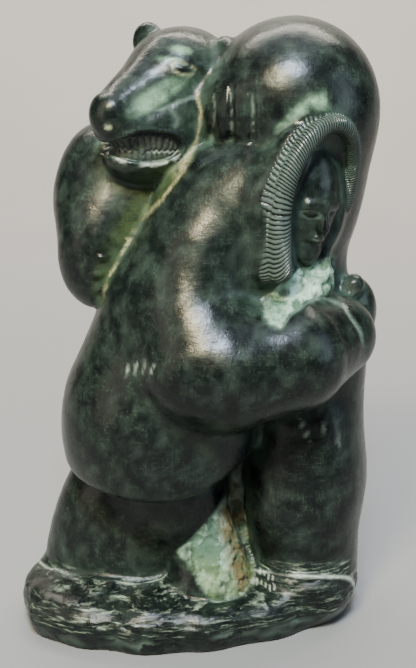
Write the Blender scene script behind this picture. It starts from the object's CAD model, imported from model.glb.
# Looks of the hunter-and-bear casting: the solid's own form at a finer grain, its carving, finish and light.

import math

import bmesh
import bpy
import numpy as np
from mathutils import Matrix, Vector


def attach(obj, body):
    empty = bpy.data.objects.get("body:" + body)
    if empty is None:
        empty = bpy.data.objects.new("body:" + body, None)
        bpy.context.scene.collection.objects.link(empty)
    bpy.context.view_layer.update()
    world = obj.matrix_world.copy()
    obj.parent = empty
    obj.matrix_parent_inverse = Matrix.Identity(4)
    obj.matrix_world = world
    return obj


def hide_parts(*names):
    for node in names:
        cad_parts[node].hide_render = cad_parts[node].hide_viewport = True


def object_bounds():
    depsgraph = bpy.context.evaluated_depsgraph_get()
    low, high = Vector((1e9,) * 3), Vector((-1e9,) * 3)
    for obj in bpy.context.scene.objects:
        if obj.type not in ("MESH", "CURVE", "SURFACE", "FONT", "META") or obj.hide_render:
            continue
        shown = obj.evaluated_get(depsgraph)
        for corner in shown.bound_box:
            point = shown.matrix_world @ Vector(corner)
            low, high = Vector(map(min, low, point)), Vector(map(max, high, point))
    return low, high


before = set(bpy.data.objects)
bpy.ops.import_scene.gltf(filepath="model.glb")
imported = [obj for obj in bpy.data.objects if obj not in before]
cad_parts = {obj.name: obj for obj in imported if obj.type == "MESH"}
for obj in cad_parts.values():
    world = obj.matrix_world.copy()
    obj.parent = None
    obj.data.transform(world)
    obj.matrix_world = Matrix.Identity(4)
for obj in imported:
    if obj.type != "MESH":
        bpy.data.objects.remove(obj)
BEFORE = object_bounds()

# Sizes in millimetres
MM = 0.001
CELL = 2.14  # grain of the plain surfaces
RELIEF_STEPS = 3  # times a point is drawn on to the form


# ---------------------------------------------------------------- form
# The same form as the solid: each shape gives a signed distance in millimetres, negative inside.

def spin(x, y, z, order="XYZ"):
    made = Matrix.Identity(3)
    angles = {"X": x, "Y": y, "Z": z}
    for axis in order:
        made = made @ Matrix.Rotation(math.radians(angles[axis]), 3, axis)
    return np.array(made)


def length(v):
    return np.sqrt(np.einsum("ij,ij->i", v, v))


def egg(at, radii, turn=(0, 0, 0)):
    at, radii, axes = np.array(at, float), np.array(radii, float), spin(*turn)

    def distance(p):
        q = (p - at) @ axes / radii
        near = length(q)
        return near * (near - 1) / np.maximum(length(q / radii), 1e-9)
    return distance


def limb(points, radii):
    points = np.array(points, float)

    def distance(p):
        best = np.full(len(p), np.inf)
        for a, b, r, s in zip(points, points[1:], radii, radii[1:]):
            along = b - a
            t = np.clip((p - a) @ along / (along @ along), 0, 1)
            best = np.minimum(best, length(p - a - t[:, None] * along) - r - t * (s - r))
        return best
    return distance


def press(a, b, k):
    h = np.maximum(k - np.abs(a - b), 0)
    return np.minimum(a, b) - h * h / (4 * k)


def join(k, *shapes):
    def distance(p):
        d = shapes[0](p)
        for shape in shapes[1:]:
            d = press(d, shape(p), k)
        return d
    return distance


def cut(k, body, *tools):
    def distance(p):
        d = body(p)
        for tool in tools:
            d = -press(-d, tool(p), k)
        return d
    return distance


def engrave(k, body, region, depth):
    def distance(p):
        d = body(p)
        return -press(-d, -press(d + depth, -region(p), k), k)
    return distance


def mirrored(shape):
    return lambda p: shape(np.abs(p) * [0, 1, 0] + p * [1, 0, 1])


class Frame:
    """A frame of its own: forward, left and up from an origin."""

    def __init__(self, at, yaw, pitch, roll=0):
        self.at = np.array(at, float)
        self.axes = spin(roll, pitch, yaw, "ZYX")

    def local(self, p):
        return (p - self.at) @ self.axes

    def placed(self, shape):
        return lambda p: shape(self.local(p))


NEARBY = 30.0


def within(centre, reach, shape):
    """The shape, worked out only near a ball around it."""
    def distance(p):
        away = length(p - np.array(centre, float)) - reach
        d = np.maximum(away, NEARBY)
        close = away < NEARBY
        d[close] = shape(p[close])
        return d
    return distance


# The base: a low slab, oval in plan
BASE_LENGTH, BASE_DEPTH, BASE_TURN, BASE_TOP, BASE_ROUND = 87, 53, 12, 20, 9


def base_plan(p):
    c, s = math.cos(math.radians(BASE_TURN)), math.sin(math.radians(BASE_TURN))
    u = (p[:, 0] + 1) * c + (p[:, 1] - 4) * s
    v = (p[:, 1] - 4) * c - (p[:, 0] + 1) * s
    rx, ry = BASE_LENGTH - BASE_ROUND, BASE_DEPTH - BASE_ROUND
    k = np.hypot(u / rx, v / ry)
    side = k * (k - 1) / np.maximum(np.hypot(u / rx ** 2, v / ry ** 2), 1e-9)
    return u, v, side


def base(p):
    u, v, side = base_plan(p)
    side = side + 0.3 * np.maximum(0, 9 - p[:, 2])
    lumps = 1.2 * np.sin(u / 9 + 1) * np.cos(v / 11) + 0.8 * np.cos(u / 5.5 - v / 8)
    top = p[:, 2] - (BASE_TOP - BASE_ROUND) - 4 * np.cos((u + 40) / 50) * np.cos(v / 30)
    outside = np.hypot(np.maximum(side, 0), np.maximum(top, 0))
    return outside + np.minimum(np.maximum(side, top), 0) - BASE_ROUND - lumps


# The hunter
SHOULDER, ELBOW, WRIST = [5, -20, 188], [18, -38, 137.5], [67, -12, 147]
FACE = Frame([57, -30, 208], -57, 12, -5)
RIM_STEPS = 24


def hem(p):
    away = p[:, 0] + 16
    return p[:, 2] - 74 - np.where(away > 0, 0.0085, 0.003) * away ** 2


PARKA = cut(
    4,
    join(14, egg([-15, -1, 100], [49, 46, 60]), egg([-3, -3, 150], [42, 40, 52], [0, 10, 0]),
         egg([18, -4, 196], [38, 35, 42])),
    hem,
)
LEGS = join(8, egg([-33, 14, 14], [45, 32, 88], [0, 8, 0]), egg([-8, 0, 62], [27, 26, 34]))
NEAR_ARM = join(
    5,
    join(8, limb([SHOULDER, [2, -28, 163], ELBOW], [22.5, 23, 26.5]),
         limb([[-4, -22, 165], [4, -37, 139]], [23, 26.5])),
    join(8, limb([ELBOW, [46, -32, 143], WRIST], [26, 26, 20]), egg([43, -24, 151], [17, 17, 25])),
)
FAR_ARM = limb([[10, 22, 188], [22, 40, 160], [50, 50, 150], [74, 40, 152]], [22, 19, 17, 14])
POMMEL = egg([77, -4, 170], [5, 6, 5])
FIST = join(1, egg([79.5, 8, 154.5], [10.5, 14, 16.5]), POMMEL)
HOOD = egg([37, -5, 208], [35, 35, 43], [0, 16, 0])
BREAST = egg([50, -19, 174], [16, 13, 18])


def ring(back):
    points = []
    for i in range(RIM_STEPS + 1):
        t = -0.6 * math.pi + i / RIM_STEPS * 1.1 * math.pi
        tail = max(0, -t / math.pi - 0.5) * 10
        side = (22.4 if t < 0 else 20.6) * math.sin(t) + 3 * tail
        points.append([4 * tail - back - 3 * math.cos(t) - 6 * max(0, t - 0.5), side,
                       (84 if math.cos(t) < 0 else 38.6) * math.cos(t)])
    return points


RIM = limb(ring(8), [7.2 - 4 * i / RIM_STEPS for i in range(RIM_STEPS + 1)])
RUFF = limb(ring(0), [4.9 - 2.5 * i / RIM_STEPS for i in range(RIM_STEPS + 1)])
VISAGE = join(
    2.5,
    egg([-13, 0, -1], [16, 15.5, 28]),
    limb([[0, -7, 3], [2.5, 0, 4.5], [0, 7, 3]], [2.5, 2.5, 2.5]),
    limb([[2, 0, 3], [5, 0, -6]], [1.6, 2.6]),
    limb([[1.5, -3.5, -11.5], [3.2, 0, -11.5], [1.5, 3.5, -11.5]], [1.2, 2, 1.2]),
    egg([-1.5, 0, -19], [4, 6.5, 6]),
)


def with_face(body):
    def around(shape):
        return within(FACE.at, 62, FACE.placed(shape))
    hollowed = cut(2, join(8, body, around(RIM)), around(egg([6, 0, 2], [14, 18, 33])))
    return join(1.5, hollowed, around(VISAGE), around(RUFF))


# The bear
HEAD = Frame([-3, 14, 264.5], -135, 0, -4)
CLAW_GROOVES = [([11.5, 258], [9.5, 236]), ([18, 261], [18.5, 236]), ([27, 260], [27.5, 238])]
BEAR_BODY = join(
    16, egg([57, 12, 70], [32, 37, 52]), egg([57, 14, 130], [30, 34, 50]),
    egg([52, 16, 205], [27, 36, 42]),
)
BEAR_LEGS = join(
    4,
    limb([[58, 4, 20], [55, 0, 60], [55, 4, 100]], [27, 29, 27]),
    limb([[57, 34, 20], [54, 30, 60], [54, 28, 100]], [21, 27, 27]),
)
NEAR_PAW = egg([23, -8, 251], [17, 20, 19])
BEAR_NEAR_ARM = join(
    4,
    join(14, egg([46.5, 4, 252], [40, 40, 40]), egg([57, 13, 230], [25.5, 31, 37])),
    cut(2, NEAR_PAW, lambda p: p[:, 2] - 241 - 0.1 * (p[:, 0] - 23)),
)
BEAR_FAR_ARM = join(
    10,
    limb([[36, 44, 232], [0, 44, 228], [-38, 28, 219]], [26, 25, 26]),
    egg([-42, 20, 205], [25, 22, 24]), egg([-44, 8, 186], [20, 20, 30], [0, 6, 0]),
    egg([-24, 14, 205], [22, 20, 30]),
)
MOUTH = egg([33, 0, -28.5], [14, 60, 7.2])
SKULL = cut(
    5,
    join(7, egg([0, 0, -3], [27, 25, 26]), limb([[10, 0, -2], [43, 0, -15]], [21, 10.5]),
         egg([31, 0, -21], [17, 16, 12]), mirrored(egg([12, 10, -22], [22, 13, 21])),
         egg([22, 0, -35], [22, 16, 12])),
    mirrored(limb([[13, 25, 1], [38, 17, -12]], [4, 3])),
)
BEAR_HEAD = HEAD.placed(join(
    2.5, engrave(1.2, SKULL, MOUTH, 2.6), egg([46, 0, -13], [5.5, 8, 6.5]),
    egg([8, -17, 15], [5, 8, 9], [0, 0, 20]), egg([-6, 19, 12], [5, 7, 8], [0, 0, -20]),
))
BEAR_NECK = limb([[4, 22, 250], [44, 20, 232]], [26, 30])


def claw_grooves(p):
    flat = p * [1, 0, 1]
    lines = join(0.1, *[limb([[a[0], 0, a[1]], [b[0], 0, b[1]]], [0.8, 1.8]) for a, b in CLAW_GROOVES])
    return np.maximum(lines(flat), p[:, 1] + 4)


# The rock between the two
MOUND = egg([56, -6, 18], [27, 26, 24])
RIDGE = join(6, limb([[7, -6, 66], [8, -11, 22]], [8, 23]), egg([22, 20, 60], [30, 22, 60]))

TRUNK = join(14, BEAR_BODY, BEAR_NEAR_ARM, BEAR_NECK)
BEAR_FRONT = cut(2, engrave(1.2, TRUNK, claw_grooves, 1.4), FACE.placed(egg([8, 0, -2], [22, 27, 45])))
BEAR = join(4, BEAR_FRONT, BEAR_LEGS, BEAR_FAR_ARM, BEAR_HEAD)
CLOTH = join(8, join(10, PARKA, HOOD, FAR_ARM), NEAR_ARM)
HUNTER = join(3, join(5, CLOTH, BREAST), LEGS)
GROUP = join(1.5, BEAR, with_face(HUNTER), FIST)
SCULPTURE = join(3, GROUP, join(4, base, RIDGE, MOUND))


def form(p):
    """The whole casting, cut flat below."""
    return np.maximum(SCULPTURE(p), -p[:, 2])


PROBE = np.array([(1, -1, -1), (-1, -1, 1), (-1, 1, -1), (1, 1, 1)], float)


def slope(p, reach=0.12):
    """Distance to the form and its outward direction at each point."""
    values = [form(p + reach * k) for k in PROBE]
    steep = sum(v[:, None] * k for v, k in zip(values, PROBE)) / (4 * reach)
    return sum(values) / 4, steep


def drawn_on(p, steps):
    """The points moved on to the form's surface, and their outward directions there."""
    for _ in range(steps):
        d, steep = slope(p)
        size = np.maximum((steep ** 2).sum(1), 0.2)
        p = p - np.clip(d / size, -1.2, 1.2)[:, None] * steep
    _, steep = slope(p)
    return p, steep / np.maximum(length(steep), 1e-6)[:, None]


# ---------------------------------------------------------------- carving helpers

LATTICE = np.random.default_rng(11).random((32, 32, 32))


def grain(p, size):
    """Smooth noise in -1..1 with features of about the given size in millimetres."""
    q = p / size + 100
    cell = np.floor(q).astype(int)
    t = q - cell
    t = t * t * (3 - 2 * t)
    total = np.zeros(len(p))
    for i in (0, 1):
        for j in (0, 1):
            for k in (0, 1):
                weight = np.prod(np.abs(1 - np.array([i, j, k]) - t), axis=1)
                at = (cell + [i, j, k]) % 32
                total += weight * LATTICE[at[:, 0], at[:, 1], at[:, 2]]
    return 2 * total - 1


def chipped_stone(p, size):
    """Flat chips of about the given size: tilt as height, the splits between them and a tone for each."""
    q = p / size + 50
    cell = np.floor(q).astype(int)
    first, second = np.full(len(p), np.inf), np.full(len(p), np.inf)
    tilt, tone = np.zeros(len(p)), np.zeros(len(p))
    for step in np.ndindex(3, 3, 3):
        at = cell + step - np.array([1, 1, 1])
        i, j, k = (at % 32).T
        scatter = np.stack([LATTICE[i, j, k], LATTICE[j, k, i], LATTICE[k, i, j]], axis=1)
        lean = np.stack([LATTICE[k, j, i], LATTICE[i, k, j], LATTICE[j, i, k]], axis=1) * 2 - 1
        off = q - at - scatter
        d = length(off)
        closer = d < first
        second = np.where(closer, first, np.minimum(second, d))
        first = np.where(closer, d, first)
        tilt = np.where(closer, np.einsum("ij,ij->i", off, lean) * size, tilt)
        tone = np.where(closer, LATTICE[(i + 7) % 32, j, k], tone)
    return tilt, ease(-(second - first) * size, -1.1, -0.2), tone


def ease(value, start, end):
    t = np.clip((value - start) / (end - start), 0, 1)
    return t * t * (3 - 2 * t)


def track(p, points):
    """Distance from a path in a plane, signed (left of the path is positive), and the part run along it."""
    points = np.array(points, float)
    best, sign, run = np.full(len(p), np.inf), np.ones(len(p)), np.zeros(len(p))
    legs = np.hypot(*(points[1:] - points[:-1]).T)
    done = 0.0
    for a, b, leg in zip(points, points[1:], legs):
        along = (b - a) / leg
        t = np.clip((p - a) @ along, 0, leg)
        off = p - a - t[:, None] * along
        d = np.hypot(off[:, 0], off[:, 1])
        closer = d < best
        best = np.where(closer, d, best)
        side = along[0] * (p - a)[:, 1] - along[1] * (p - a)[:, 0]
        sign = np.where(closer, np.sign(side), sign)
        run = np.where(closer, (done + t) / legs.sum(), run)
        done += leg
    return best * sign, run


def taper(run, ends=0.12):
    return ease(run, 0, ends) * ease(1 - run, 0, ends)


# ---------------------------------------------------------------- carving

RUFF_HALF_WIDTH, RUFF_RISE, RUFF_FALL = 22.0, 38.6, 84


def ruff_count(pitch):
    """Ridges counted along the hood's rim, where pitch gives their spacing at each angle."""
    t = np.linspace(-0.75 * math.pi, 0.6 * math.pi, 400)
    reach = np.where(np.cos(t) < 0, RUFF_FALL, RUFF_RISE)
    step = np.hypot(RUFF_HALF_WIDTH * np.cos(t), reach * np.sin(t)) * (t[1] - t[0])
    return t, np.cumsum(step / pitch(t))


COARSE_ROW = ruff_count(lambda t: 1.95 - 0.1 * ease(t, -1.4, 0.4))
FINE_ROW = ruff_count(lambda t: 1.95 - 0.65 * ease(t, -1.42, -1.3))


def carve_ruff(p, marks):
    f = FACE.local(p)
    t = np.arctan2(f[:, 1] / RUFF_HALF_WIDTH, f[:, 2] / np.where(f[:, 2] < 0, RUFF_FALL, RUFF_RISE))
    across = f[:, 0] + 3 * np.cos(t) + 6 * np.maximum(0, t - 0.5)
    back_row, front_row = RIM(f), RUFF(f)
    band = ease(-np.minimum(back_row, front_row), -1.5, -0.7) * ease(across, -5.4, -4.4)
    band *= ease(t, -0.64 * math.pi, -0.6 * math.pi) * ease(-t, -1.65, -1.45)
    split = ease(t, -1.42, -1.3)
    back = ease(-across, 1.6, 2.2)
    wobble = 0.3 * grain(p, 6)
    turn = np.where(back * split > 0.5, np.interp(t, *COARSE_ROW), np.interp(t, *FINE_ROW)) + wobble
    depth = 1.0 - 0.45 * ease(t, -1.3, 0.8)
    marks["ruff"], marks["ruff_turn"] = band * depth, turn
    gap = np.abs(turn - np.floor(turn) - 0.5) * 2
    seam = np.exp(-((across + 1.9) / 0.5) ** 2) * split + (1 - split) * np.exp(-((across + 0.5) / 0.9) ** 2)
    return band * (0.35 - 0.4 * depth * ease(gap, 0.4, 1.0) - 0.4 * seam)


TOOTH, JAW_RADIUS = 2.45, 24


def carve_head(p, marks):
    q = HEAD.local(p)
    a, b, c = q.T
    close = ease(-length(q - [22, 0, -15]), -46, -42) * ease(-SKULL(q), -4.5, -3)
    side = q[:, [0, 2]]
    near_side = ease(b, 0, 3) * close

    # teeth: counted round the muzzle, the long one near the front
    lips = MOUTH(q)
    gums = ease(-lips, -0.3, 0.7) * close
    run = np.arctan2(b, a - 12) * JAW_RADIUS / TOOTH + 0.35 * grain(q, 5)
    tooth = np.abs(run - np.floor(run) - 0.5) * 2
    fang = np.exp(-((np.abs(run) - 4.5) / 0.6) ** 2)
    bite = -29.8 + 1.1 * (tooth - 0.5) - 2.2 * fang
    meet = np.exp(-((c - bite) / 0.45) ** 2)
    crown = np.sqrt(np.maximum(1 - tooth ** 2, 0)) * ease(-lips, 0.4, 1.8)
    h = gums * ((0.8 + 0.4 * fang) * crown * (0.6 + 0.4 * ease(c - bite, -0.4, 0.4)) - 0.6 * meet)
    lip = np.exp(-((lips - 0.9) / 0.8) ** 2) * close
    h += 0.5 * lip + 0.25 * lip * grain(p, 2.5)
    worn = ease(grain(p, 3), -0.5, 0.2)
    marks["pale"] += gums * (0.07 * crown + 0.4 * worn * np.exp(-((c - bite + 0.8) / 0.45) ** 2))
    marks["mouth"] = gums
    marks["pale"] += 0.7 * lip * ease(-c, 31.5, 35) * worn * ease(b, 0, 5)

    # the eye: an almond in its lids
    slant = spin(0, 0, 14)[:2, :2]
    almond = length((side - [18.6, 5.6]) @ slant / [4.4, 2.3])
    chipped = np.exp(-((almond - 1.6) / 0.45) ** 2)
    h += near_side * (0.4 * ease(-almond, -0.95, -0.1) - 0.35 * np.exp(-((almond - 1.0) / 0.2) ** 2)
                      + chipped * (0.12 + 0.16 * grain(p, 1.5)))
    marks["gold"] += near_side * 0.4 * np.exp(-((almond - 1.1) / 0.25) ** 2) * ease(grain(p, 1.6), -0.6, 0.3)
    marks["verdigris"] += near_side * 0.6 * ease(-length((side - [16.5, 13.5]) / [4, 2]), -1.3, -0.3)
    marks["verdigris"] += near_side * 0.45 * ease(-length((side - [22, 9]) / [4.5, 2]), -1.3, -0.3)

    # the flat of the cheek below the muzzle's edge, the nose and the lips
    edge, run = track(side, [[46, -8], [32.4, -1.6], [26, 3]])
    h -= near_side * 0.45 * np.exp(-((edge - 3.2) / 2.6) ** 2) * taper(run, 0.3)
    cheek = length((side - [30, -6]) @ spin(0, 0, -32)[:2, :2] / [15, 4])
    marks["verdigris"] += near_side * 0.8 * ease(-cheek, -1.3, -0.5)
    nostril = length((q - [50.5, 6.0, -19.0]) / [3.4, 2.1, 2.3])
    h += close * (-1.5 * ease(-nostril, -1, -0.2) + 0.3 * np.exp(-((nostril - 1.35) / 0.2) ** 2))
    marks["gold"] += close * 0.5 * ease(-nostril, -1.1, -0.6) * ease(-c, 18.5, 20)
    for path, width, depth in (
        ([[44, -13], [38, -10.5], [30, -12], [22, -8.5], [12, -5]], 0.7, -0.45),
        ([[26, -10.5], [23, -16], [25, -20]], 1.2, -0.35),
        ([[47, -22], [40, -20.5], [30, -20]], 0.8, -0.3),
    ):
        off, run = track(side, path)
        h += near_side * taper(run, 0.15) * depth * np.exp(-(off / width) ** 2)
    return h


def carve_face(p, marks):
    """The hunter's face: closed lids at half height, the line of the lips, and the hood's lining over it."""
    f = FACE.local(p)
    skin = ease(-VISAGE(f), -0.8, -0.2) * (length(f) < 40) * (f[:, 0] > -8)
    flat = f[:, 1:]
    h = np.zeros(len(p))
    for y in (-6.2, 6.2):
        lid = length((flat - [y, -0.5]) / [3.6, 1.9])
        h += skin * (0.6 * ease(-lid, -1, -0.1) - 0.25 * np.exp(-((lid - 1.05) / 0.2) ** 2))
        off, run = track(flat, [[y - 3.4, -0.9], [y, -1.7], [y + 3.4, -0.9]])
        h -= skin * 0.35 * taper(run, 0.2) * np.exp(-(off / 0.4) ** 2)
    off, run = track(flat, [[-4.2, -11.2], [-1.5, -11.6], [1.5, -11.6], [4.2, -11.2]])
    h -= skin * 0.45 * taper(run, 0.2) * np.exp(-(off / 0.4) ** 2)
    lining = ease(-length((f - [2, 3, 25]) / [9, 9, 5]), -1.2, -0.5) * ease(VISAGE(f), 0, 1)
    marks["pale"] += 0.35 * lining
    return h


# Strokes across the side that faces the photograph, as x and z in millimetres
FAR_KNUCKLES = [-41, 184], [-45, 176], [-42, 169]
ARM_CREASE = [[-2, 226], [-10, 216], [-24, 199], [-31, 188], [-38, 174], [-43, 160]]
HEAD_CREASE = [[2, 262], [5, 250], [3, 238], [-3, 227], [-10, 221]]
CUFF = [[37, 158], [44, 166], [52, 169.5], [60, 170], [70, 164], [77, 154], [80, 144]]
LEDGE = [[35.4, 241.2], [40.6, 245.4], [46.9, 250], [52, 253], [60, 254]]
TOOL_MARKS = (
    [[-29, 135], [-27, 142]], [[-25, 137], [-23, 144]], [[-21, 139], [-19.5, 145]], [[-18, 140], [-15, 146]],
    [[-21, 101], [-11, 100.5]], [[50, 112], [57, 96]], [[61, 116], [64, 99]], [[68, 112], [71, 92]],
)
PATCH_AT, PATCH_HALF, PATCH_LEAN = [51, 173], [20, 9.5], 28


def carve(p, out):
    """Height of the carving over the form in millimetres, and the marks that the finish follows."""
    names = ("ruff", "ruff_turn", "rough", "crack", "verdigris", "moss", "gold", "ochre", "pale", "scraped",
             "tone")
    marks = {name: np.zeros(len(p)) for name in names}
    front = ease(-out[:, 1], 0.0, 0.35)
    flat = p[:, [0, 2]]
    h = carve_ruff(p, marks) + carve_head(p, marks) + carve_face(p, marks)

    # knuckles of the far paw, and the creases round the far arm
    far = front * ease(-length((p - [-46, -8, 178]) / [12, 14, 16]), -1.3, -1.0)
    for knuckle in FAR_KNUCKLES:
        away = length((flat - knuckle) / [4.2, 2.6]) + 0.25 * grain(p, 4)
        h += far * (1.5 + 0.4 * grain(p, 3)) * ease(-away, -1.2, -0.1)
    off, run = track(flat, ARM_CREASE)
    on_arm = front * ease(-off, -1.5, 0.5)
    marks["moss"] += 0.8 * on_arm * ease(-np.abs(off) + 14 * (1 - 0.6 * run), -4, 8) * taper(run, 0.06)
    broken = ease(grain(p, 3), -0.7, 0.2)
    marks["gold"] += 0.8 * front * broken * np.exp(-(off / 0.6) ** 2) * taper(run, 0.1) * (p[:, 1] < -2)
    off, run = track(flat, HEAD_CREASE)
    line_width = 0.7 + 1.1 * ease(run, 0.5, 0.8)
    marks["gold"] += 0.7 * front * broken * np.exp(-(off / line_width) ** 2) * taper(run, 0.2)

    # the claws' edges on the near paw, and the ledge between the paw and the hood
    for (x1, z1), (x2, z2) in CLAW_GROOVES:
        off, run = track(flat, [[x1 - 1, z1], [x2 - 1, z2]])
        speckled = ease(grain(p, 1.6) + 0.5 * broken, -0.1, 0.5)
        marks["pale"] += 0.16 * speckled * (p[:, 1] < 0) * taper(run, 0.3) * np.exp(-((off - 1.0) / 0.6) ** 2)
    off, run = track(flat, LEDGE)
    ledge = front * (p[:, 1] < 0) * taper(run, 0.12)
    h -= 0.4 * ledge * np.exp(-(off / 0.8) ** 2)
    wedge = np.exp(-((off - 0.6 - 2 * run) / (0.7 + 2.4 * run)) ** 2)
    marks["verdigris"] += ledge * wedge * ease(grain(p, 4) + run, -0.4, 0.5)

    # the cuff of the near arm, and the pale foot of the knob on the fist
    off, run = track(flat, CUFF)
    cuff = front * (p[:, 1] < 5) * taper(run)
    h -= 0.7 * cuff * np.exp(-(off / 0.8) ** 2)
    marks["pale"] += 0.08 * cuff * broken * np.exp(-(off / 0.4) ** 2) * ease(p[:, 0], 55, 66)
    foot = np.exp(-((POMMEL(p) - 0.8) / 0.5) ** 2)
    marks["pale"] += 0.9 * foot * front * ease(77 - p[:, 0] + 171 - p[:, 2], 0, 3)

    # stone left rough: below the face, between the two, and the base
    f = FACE.local(p)
    lean = spin(0, 0, PATCH_LEAN)[:2, :2]
    patch = ease(-length((flat - PATCH_AT) @ lean / PATCH_HALF), -1.1, -0.8) * front
    patch *= (p[:, 1] < 2) * ease(np.minimum(RIM(f), RUFF(f)), 0.4, 1.2) * ease(off, -0.4, 0.6)
    patch *= ease(-p[:, 0], -69, -65)
    ridge = ease(-RIDGE(p), -2.5, 0) * ease(-out[:, 1], -0.3, 0.2) * ease(-p[:, 2], -74, -60)
    ridge *= ease(0.77 * (p[:, 0] + 7) + 0.64 * (p[:, 2] - 40) + 3 * grain(p, 5), -2, 3)
    slab_skin = np.minimum(base(p), MOUND(p))
    on_base = ease(-slab_skin, -3, -0.5) * ease(-p[:, 2], -42, -36)
    marks["rough"] = np.maximum(patch, ridge)
    marks["scraped"] = on_base * ease(p[:, 2], 7, 13) * ease(-p[:, 1], -30, 0)
    marks["ochre"] = ridge * ease(p[:, 0] + 0.25 * (p[:, 2] - 40), 14, 20)
    loose = p + 2.4 * np.stack([grain(p, 5), grain(p + 31, 5), grain(p + 57, 5)], axis=1)
    chip, split, tone = chipped_stone(loose * [1, 1, 0.5], 7)
    slab, _, slab_tone = chipped_stone(loose * [0.35, 0.5, 1.2], 8)
    split *= ease(grain(p, 8), 0.0, 0.3)
    marks["crack"] = marks["rough"] * split
    marks["tone"] = np.where(marks["rough"] > 0.3, tone, slab_tone)
    pitting = 0.7 * grain(p, 2.4) - 0.8 * np.abs(grain(p * [1, 1, 0.6], 5))
    h += marks["rough"] * (0.22 * chip - 0.6 * split + pitting)
    h += on_base * ease(p[:, 2], 0.5, 6) * (0.12 * slab + 0.3 * grain(p * [0.5, 0.5, 1], 3))
    marks["moss"] += 0.8 * ridge * ease(-p[:, 2], -46, -28)

    # the edge where the legs stand on the base
    near_leg = np.minimum(LEGS(p), BEAR_LEGS(p))
    kerb = ease(-slab_skin, -4, -1.5) * ease(-p[:, 2], -42, -38) * ease(-p[:, 1], -20, 0) * (1 - ridge)
    h += kerb * (0.35 * np.exp(-((near_leg - 3.4) / 0.7) ** 2) - 0.5 * np.exp(-((near_leg - 1.9) / 0.7) ** 2))
    marks["pale"] += 0.8 * kerb * np.exp(-((near_leg - 3.4) / 0.4) ** 2) * ease(grain(p, 9), -0.5, 0.1)

    for path in TOOL_MARKS:
        off, run = track(flat, path)
        line = front * (p[:, 2] < 160) * taper(run, 0.3) * np.exp(-(off / 0.45) ** 2)
        h -= 0.3 * line
        marks["pale"] += 0.35 * line

    # rows of shallow strokes on the front of the base, all leaning one way
    for row in range(2):
        for i in range(8):
            x, z = 26 + 2.0 * i + 0.6 * row, 28.5 - 4.2 * row
            off, run = track(flat, [[x, z], [x - 0.4, z - 2.4 - 0.5 * math.sin(2.3 * i + row)]])
            line = on_base * (p[:, 1] < -14) * taper(run, 0.15) * np.exp(-(off / 0.4) ** 2)
            h -= 0.4 * line
            marks["pale"] += 0.5 * line

    h += 0.12 * grain(p, 6) + 0.06 * grain(p, 2.4)
    return h * ease(p[:, 2], 0.0, 1.5), marks


# ---------------------------------------------------------------- the piece

def refined(mesh, wanted):
    """Splits each face whose middle is wanted into four."""
    work = bmesh.new()
    work.from_mesh(mesh)
    work.faces.ensure_lookup_table()
    middles = np.array([f.calc_center_median() for f in work.faces]) / MM
    picked = np.flatnonzero(wanted(middles))
    edges = {e for i in picked for e in work.faces[i].edges}
    bmesh.ops.subdivide_edges(work, edges=list(edges), cuts=1, use_grid_fill=True)
    work.to_mesh(mesh)
    work.free()


def points_of(mesh):
    p = np.empty(len(mesh.vertices) * 3)
    mesh.vertices.foreach_get("co", p)
    return p.reshape(-1, 3) / MM


def put_points(mesh, p):
    mesh.vertices.foreach_set("co", (p * MM).ravel())
    mesh.update()


def fine(p):
    """Where the carving is finest: the ruff, the hunter's face, the bear's teeth and the rows of strokes."""
    f, q = FACE.local(p), HEAD.local(p)
    rim = (np.minimum(RIM(f), RUFF(f)) < 1.8) & (f[:, 2] > -50)
    teeth = (MOUTH(q) < 1.5) & (length(q - [25, 0, -20]) < 38)
    strokes = length(p - [34, -25, 26]) < 12
    return rim | teeth | strokes | (VISAGE(f) < 1) & (f[:, 0] > -6)


def fairly_fine(p):
    f, q = FACE.local(p), HEAD.local(p)
    head = length(q - [18, 0, -15]) < 42
    face = VISAGE(f) < 3
    paw = (length(p - [20, -20, 250]) < 26) | (length(p - [-46, -5, 176]) < 22)
    stone = (np.minimum(np.minimum(base(p), MOUND(p)), RIDGE(p)) < 3) & (p[:, 1] < 5) & (p[:, 2] > 2)
    patch = length(p - [52, -30, 175]) < 24
    return fine(p) | face | head & (q[:, 1] > -4) | paw | stone | patch


SHUT_REACHES = (3.0, 9.0)  # how far out a point is tested for being shut in
FULL_DIP = 0.8  # carving this deep holds as much patina as it can


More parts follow.
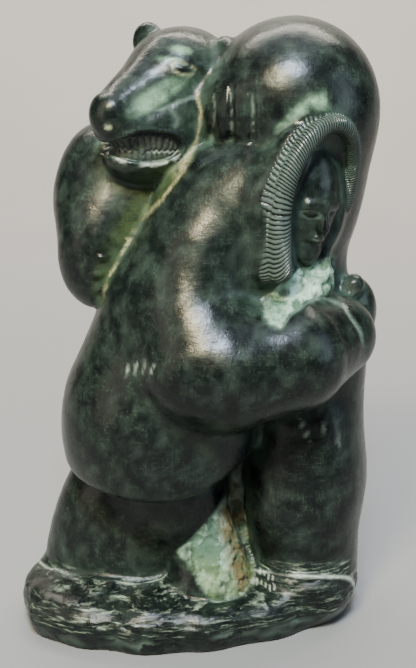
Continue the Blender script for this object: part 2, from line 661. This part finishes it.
def made_piece():
    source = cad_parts["hunter_and_bear_casting"]
    mesh = source.data.copy()
    work = bmesh.new()
    work.from_mesh(mesh)
    bmesh.ops.remove_doubles(work, verts=work.verts, dist=1e-6)
    work.to_mesh(mesh)
    work.free()
    rough = bpy.data.objects.new("blank", mesh)
    bpy.context.scene.collection.objects.link(rough)
    remesh = rough.modifiers.new("grain", "REMESH")
    remesh.mode = "VOXEL"
    remesh.voxel_size = CELL * MM
    skin = bpy.data.meshes.new_from_object(rough.evaluated_get(bpy.context.evaluated_depsgraph_get()))
    bpy.data.objects.remove(rough)
    skin.materials.clear()

    p, _ = drawn_on(points_of(skin), RELIEF_STEPS)
    put_points(skin, p)
    refined(skin, fairly_fine)
    refined(skin, fine)
    p, out = drawn_on(points_of(skin), 2)
    h, marks = carve(p, out)

    # how shut in each point is: the form's distance a little way out, against that way
    shut = np.zeros(len(p))
    for reach in SHUT_REACHES:
        shut = np.maximum(shut, 1 - form(p + reach * out) / reach)
    claws = length((p - [20, -24, 247]) / [16, 20, 16]) < 1
    inside_hood = ease(-length((FACE.local(p) - [4, 0, 2]) / [13, 17, 36]), -1.1, -0.8)
    marks["hollow"] = np.clip(shut, 0, 1) * (1 - 0.8 * claws) * (1 - 0.55 * inside_hood)
    marks["hollow"] *= (1 - 0.6 * marks["mouth"]) * (0.45 + 0.55 * ease(p[:, 2], 40, 150))
    marks["dip"] = np.clip(-h / FULL_DIP, 0, 1) * (1 - np.maximum(marks["rough"], marks["scraped"]))

    low, high = (np.array(side) / MM for side in BEFORE)
    p = np.clip(p + h[:, None] * out, low, high)
    put_points(skin, p)
    for name, values in marks.items():
        skin.attributes.new(name, "FLOAT", "POINT").data.foreach_set("value", values.astype(np.float32))
    skin.shade_smooth()
    skin.name = "casting_skin"
    piece = bpy.data.objects.new("casting_skin", skin)
    bpy.context.scene.collection.objects.link(piece)
    return piece


# ---------------------------------------------------------------- finish

def colour(code):
    """A linear colour from a written sRGB one."""
    parts = [int(code[i:i + 2], 16) / 255 for i in (1, 3, 5)]
    return [c / 12.92 if c <= 0.04045 else ((c + 0.055) / 1.055) ** 2.4 for c in parts] + [1.0]


def node(tree, kind, inputs=None, **settings):
    made = tree.nodes.new(kind)
    for name, value in settings.items():
        setattr(made, name, value)
    for socket, value in (inputs or {}).items():
        if isinstance(value, bpy.types.NodeSocket):
            tree.links.new(value, made.inputs[socket])
        else:
            made.inputs[socket].default_value = value
    return made


def fresh_material(name):
    material = bpy.data.materials.new(name)
    material.use_nodes = True
    material.node_tree.nodes.clear()
    return material, material.node_tree


RESIN_TONES = {
    "deep_resin": "#060a0a", "green_resin": "#0c1311", "cloud": "#1a251d", "brush_marks": "#566a5c",
    "hollow_bloom": "#4a6355", "cut_lines": "#86a090", "moss": "#38451b", "verdigris": "#86a98c",
    "rough_stone": "#4c6a58", "lit_chips": "#a6c4b1", "yellow_moss": "#6f7d3c", "cracks": "#1c2a22",
    "ochre": "#5a4a29", "scrapes": "#a4b59f", "ruff_crests": "#66756e", "gold": "#b3b084",
    "worn": "#c3cdc0", "specks": "#a9b7a6",
}


def waxed_resin():
    """Green-black resin under wax: a soft broad sheen, verdigris in the hollows, pale worn carving."""
    material, tree = fresh_material("waxed_green_black_resin")

    def add(kind, inputs=None, **settings):
        return node(tree, kind, inputs, **settings)

    def mark(name):
        return add("ShaderNodeAttribute", attribute_name=name).outputs["Fac"]

    def maths(operation, a, b=0.0, clamp=False):
        return add("ShaderNodeMath", {0: a, 1: b}, operation=operation, use_clamp=clamp).outputs[0]

    def span(value, start, end, low=0.0, high=1.0):
        return add("ShaderNodeMapRange", {"Value": value, "From Min": start, "From Max": end,
                                          "To Min": low, "To Max": high}).outputs["Result"]

    def tint(fac, a, b):
        made = add("ShaderNodeMix", {"Factor": fac}, data_type="RGBA")
        for socket, value in ((6, a), (7, b)):
            if isinstance(value, bpy.types.NodeSocket):
                tree.links.new(value, made.inputs[socket])
            else:
                made.inputs[socket].default_value = value
        return made.outputs[2]

    where = add("ShaderNodeTexCoord").outputs["Object"]

    def speckle(size_mm, detail=3.0, rough=0.6, stretch=None):
        place = where
        if stretch:
            place = add("ShaderNodeMapping", {"Vector": where, "Scale": stretch}).outputs["Vector"]
        return add("ShaderNodeTexNoise", {"Vector": place, "Scale": 1 / (size_mm * MM), "Detail": detail,
                                          "Roughness": rough}).outputs["Fac"]

    # clouds in the pour, patches of wax and grains of filler; the grains and the brush marks are finer on the
    # real one, and are drawn about 1 mm across so that they show
    broad, patch, fine_grain = speckle(28), speckle(7, 5), speckle(0.9, 4, 0.7)
    strokes = [speckle(size, 4, 0.75, stretch) for size, stretch in (
        (0.9, (1.0, 1.0, 0.07)), (0.8, (0.12, 0.5, 1.0)), (1.0, (1.0, 0.08, 0.6)))]
    streaks = speckle(1.2, 5, 0.75, (0.10, 0.10, 1.0))
    gap = maths("MULTIPLY", maths("ABSOLUTE", maths("SUBTRACT", maths("FRACT", mark("ruff_turn")), 0.5)), 2.0)

    def laid(under, amount, tone):
        return tint(amount, under, colour(RESIN_TONES[tone]))

    def both(a, b):
        return maths("MULTIPLY", a, b, True)

    body = tint(span(broad, 0.38, 0.62), colour(RESIN_TONES["deep_resin"]),
                colour(RESIN_TONES["green_resin"]))
    body = laid(body, both(span(patch, 0.5, 0.68), 0.4), "cloud")
    for stroke in strokes:
        body = laid(body, both(span(stroke, 0.53, 0.68), both(span(patch, 0.4, 0.62), 0.16)), "brush_marks")
    hollow = both(mark("hollow"), span(patch, 0.3, 0.62, 0.15, 1.0))
    body = laid(body, both(hollow, 0.5), "hollow_bloom")
    body = laid(body, both(mark("dip"), 0.35), "cut_lines")
    brushed = both(span(patch, 0.35, 0.6, 0.25, 1.0), span(strokes[1], 0.4, 0.6, 0.5, 1.0))
    body = laid(body, both(mark("moss"), brushed), "moss")
    scratchy = both(span(patch, 0.36, 0.6, 0.3, 1.0), span(fine_grain, 0.35, 0.6, 0.6, 1.0))
    body = laid(body, both(mark("verdigris"), scratchy), "verdigris")
    rough = mark("rough")
    body = laid(body, both(rough, 0.8), "rough_stone")
    lit = maths("ADD", mark("tone"), span(patch, 0.35, 0.65, -0.4, 0.4))
    body = laid(body, both(rough, span(lit, 0.3, 1.15)), "lit_chips")
    body = laid(body, both(both(rough, mark("moss")), span(fine_grain, 0.35, 0.6, 0.2, 0.7)), "yellow_moss")
    body = laid(body, both(mark("crack"), 0.75), "cracks")
    body = laid(body, both(mark("ochre"), span(patch, 0.38, 0.58, 0.1, 0.9)), "ochre")
    scraped = both(both(mark("scraped"), span(streaks, 0.53, 0.68)), span(lit, 0.1, 1.1, 0.3, 1.0))
    body = laid(body, both(scraped, 0.75), "scrapes")
    body = laid(body, both(both(mark("ruff"), span(gap, 0.9, 0.4)), 0.4), "ruff_crests")
    body = laid(body, both(mark("gold"), span(fine_grain, 0.35, 0.6, 0.3, 0.95)), "gold")
    body = laid(body, both(mark("pale"), span(fine_grain, 0.3, 0.55, 0.35, 0.95)), "worn")
    body = laid(body, both(span(fine_grain, 0.68, 0.76), 0.45), "specks")

    shine = span(patch, 0.3, 0.7, 0.24, 0.36)
    for amount, more in ((rough, 0.3), (hollow, 0.25), (scraped, 0.08), (mark("gold"), 0.2),
                         (mark("moss"), 0.12)):
        shine = maths("ADD", shine, maths("MULTIPLY", amount, more))

    height = maths("MULTIPLY", patch, maths("ADD", maths("MULTIPLY", rough, 1.4), 0.25))
    for value, much in ((strokes[0], 0.05), (strokes[1], 0.04), (strokes[2], 0.04), (fine_grain, 0.015)):
        height = maths("ADD", height, maths("MULTIPLY", value, much))
    height = maths("ADD", height, maths("MULTIPLY", fine_grain, maths("MULTIPLY", rough, 0.5)))
    height = maths("ADD", height, maths("MULTIPLY", streaks, maths("MULTIPLY", mark("scraped"), 0.25)))
    height = maths("SUBTRACT", height, maths("MULTIPLY", both(span(gap, 0.45, 1.0), mark("ruff")), 0.4))
    bump = add("ShaderNodeBump", {"Strength": 1.0, "Distance": MM, "Height": height}).outputs["Normal"]

    surface = add("ShaderNodeBsdfPrincipled", {
        "Base Color": body, "Roughness": shine, "Normal": bump, "IOR": 1.3,
        "Coat Weight": 0.14, "Coat Roughness": 0.08, "Coat Normal": bump,
    })
    add("ShaderNodeOutputMaterial", {"Surface": surface.outputs["BSDF"]})
    return material


def pale_paper():
    """A matt pale sheet, with a faint unevenness that keeps it from looking computed."""
    material, tree = fresh_material("matt_pale_sheet")
    where = node(tree, "ShaderNodeTexCoord").outputs["Object"]
    cloud = node(tree, "ShaderNodeTexNoise", {"Vector": where, "Scale": 3.0, "Detail": 2.0}).outputs["Fac"]
    mix = node(tree, "ShaderNodeMix", {"Factor": cloud}, data_type="RGBA")
    mix.inputs[6].default_value = colour("#6f7071")
    mix.inputs[7].default_value = colour("#777879")
    surface = node(tree, "ShaderNodeBsdfPrincipled", {"Base Color": mix.outputs[2], "Roughness": 0.85})
    node(tree, "ShaderNodeOutputMaterial", {"Surface": surface.outputs["BSDF"]})
    return material


piece = made_piece()
piece.data.materials.append(waxed_resin())
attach(piece, "root")
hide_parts("hunter_and_bear_casting")


# ---------------------------------------------------------------- stage, light, camera

BEND_AT, BEND_RADIUS, WALL_TOP = 1.2, 0.8, 3.5


def sheet():
    """Floor sweeping up into a wall well behind the piece."""
    work = bmesh.new()
    profile = [(-3.0, 0.0), (BEND_AT, 0.0)]
    for a in np.linspace(0.1, math.pi / 2, 14):
        profile.append((BEND_AT + BEND_RADIUS * math.sin(a), BEND_RADIUS - BEND_RADIUS * math.cos(a)))
    profile.append((BEND_AT + BEND_RADIUS, WALL_TOP))
    rows = [[work.verts.new((x, y, z - 0.0002)) for x in (-4, 4)] for y, z in profile]
    for a, b in zip(rows, rows[1:]):
        work.faces.new((a[0], a[1], b[1], b[0]))
    mesh = bpy.data.meshes.new("floor_sheet")
    work.to_mesh(mesh)
    work.free()
    mesh.shade_smooth()
    floor = bpy.data.objects.new("floor_sheet", mesh)
    floor.data.materials.append(pale_paper())
    bpy.context.scene.collection.objects.link(floor)
    return floor


sheet()


def lamp(name, at, aim, size, watts, tone):
    light = bpy.data.lights.new(name, "AREA")
    light.shape = "RECTANGLE"
    light.size, light.size_y = size
    light.energy = watts
    light.color = colour(tone)[:3]
    made = bpy.data.objects.new(name, light)
    away = np.array(at) - np.array(aim)
    made.location = at
    z = away / np.linalg.norm(away)
    x = np.cross([0, 0, 1], z)
    x /= np.linalg.norm(x)
    made.rotation_euler = Matrix(np.array([x, np.cross(z, x), z]).T.tolist()).to_euler()
    bpy.context.scene.collection.objects.link(made)


AIM = (0.02, 0.0, 0.18)
lamp("warm_window", (-0.27, -0.80, 0.98), AIM, (0.2, 0.26), 28, "#fff0c0")
lamp("cool_window", (0.0, -0.70, 1.10), AIM, (0.2, 0.28), 30, "#d6e8ff")
lamp("ceiling", (0.05, 0.2, 1.4), (0.0, 0.0, 0.1), (1.4, 1.0), 10, "#dcebf4")
lamp("left_fill", (-0.9, -0.5, 0.45), AIM, (0.6, 0.8), 3.0, "#fff4e4")
lamp("right_fill", (0.95, -0.35, 0.5), AIM, (0.5, 0.8), 4.0, "#cfe2f4")
lamp("wall_wash", (0.0, 0.9, 1.9), (0.0, 2.0, 0.9), (2.4, 0.5), 230, "#fff4e2")

world = bpy.data.worlds.new("soft_room")
world.use_nodes = True
world.node_tree.nodes["Background"].inputs["Color"].default_value = colour("#e9e8e2")
world.node_tree.nodes["Background"].inputs["Strength"].default_value = 0.1
bpy.context.scene.world = world

FOCUS_PX, FRAME_HEIGHT_PX, PITCH = 1035, 668, 15
SENSOR = 24
camera = bpy.data.cameras.new("camera")
camera.sensor_fit = "VERTICAL"
camera.sensor_height = SENSOR
camera.lens = SENSOR * FOCUS_PX / FRAME_HEIGHT_PX
eye = bpy.data.objects.new("camera", camera)
eye.location = (0.008, -0.483, 0.274)
eye.rotation_euler = (math.radians(90 - PITCH), 0, 0)
bpy.context.scene.collection.objects.link(eye)
bpy.context.scene.camera = eye

bpy.context.view_layer.update()
